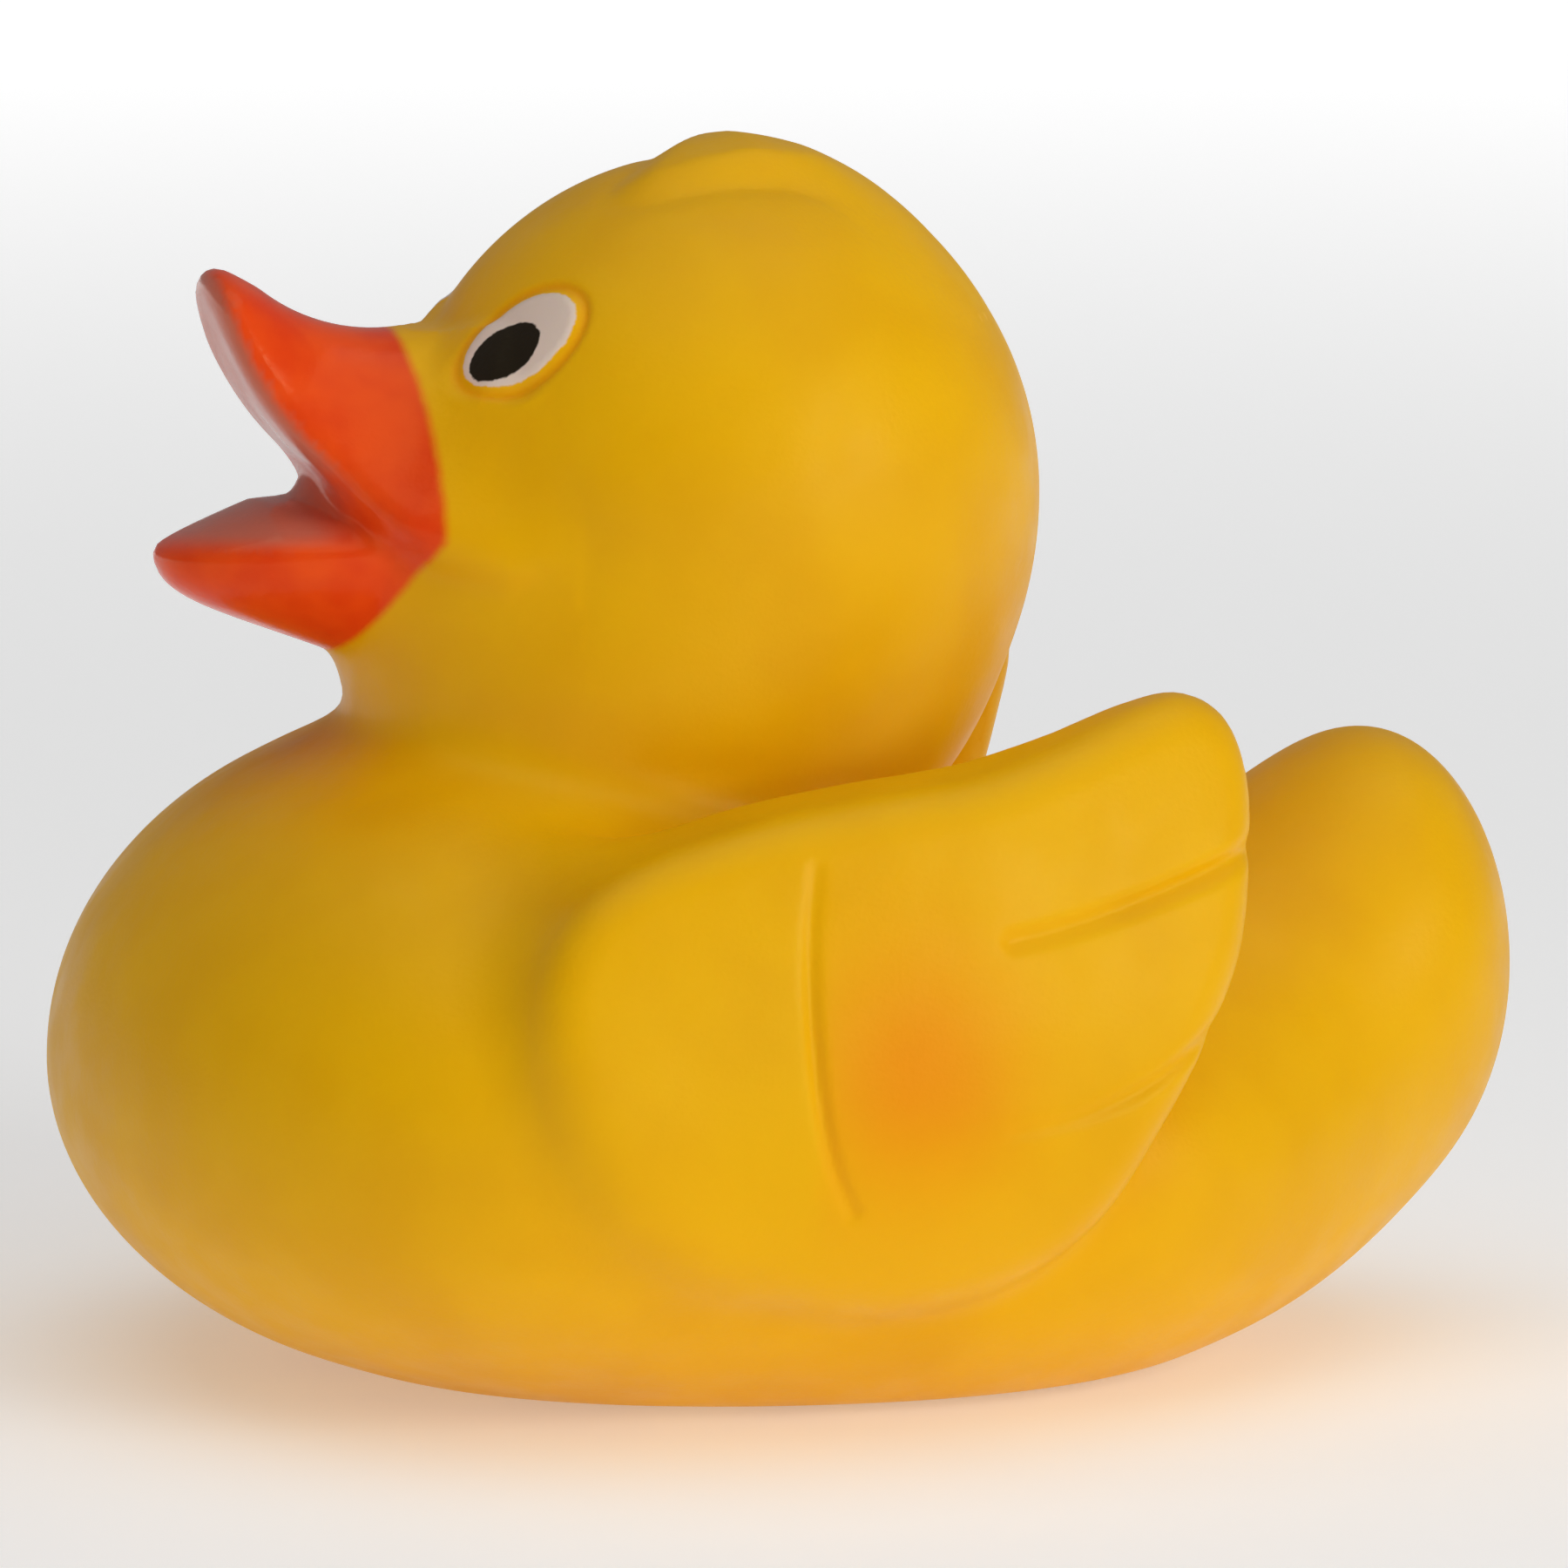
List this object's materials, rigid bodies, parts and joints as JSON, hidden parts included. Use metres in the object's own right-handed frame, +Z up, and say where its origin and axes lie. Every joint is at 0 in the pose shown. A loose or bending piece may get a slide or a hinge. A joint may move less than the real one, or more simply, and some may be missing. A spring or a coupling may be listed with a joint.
{
  "type": "rubber duck",
  "caption": "Hollow soft vinyl bath duck with a round head, open upturned bill, raised side wings and tail, and a reed squeaker set in its flat base",
  "frame": {"origin": "middle of the flat base, on the plane the duck rests on, under the centre of its bounding box", "axes": "the bill faces -Y, the duck's left side is +X and +Z is up"},
  "size_m": [0.0684, 0.0843, 0.0701],
  "materials": {
    "vinyl": "satin yellow vinyl with orange-red painted bill and painted eyes",
    "squeaker": "natural moulded plastic",
    "reed": "thin translucent film"
  },
  "bodies": {
    "root": {"duck_body": "vinyl", "squeaker_housing": "squeaker", "squeaker_reed_plate": "squeaker", "squeaker_reed": "reed"}
  },
  "joints": []
}
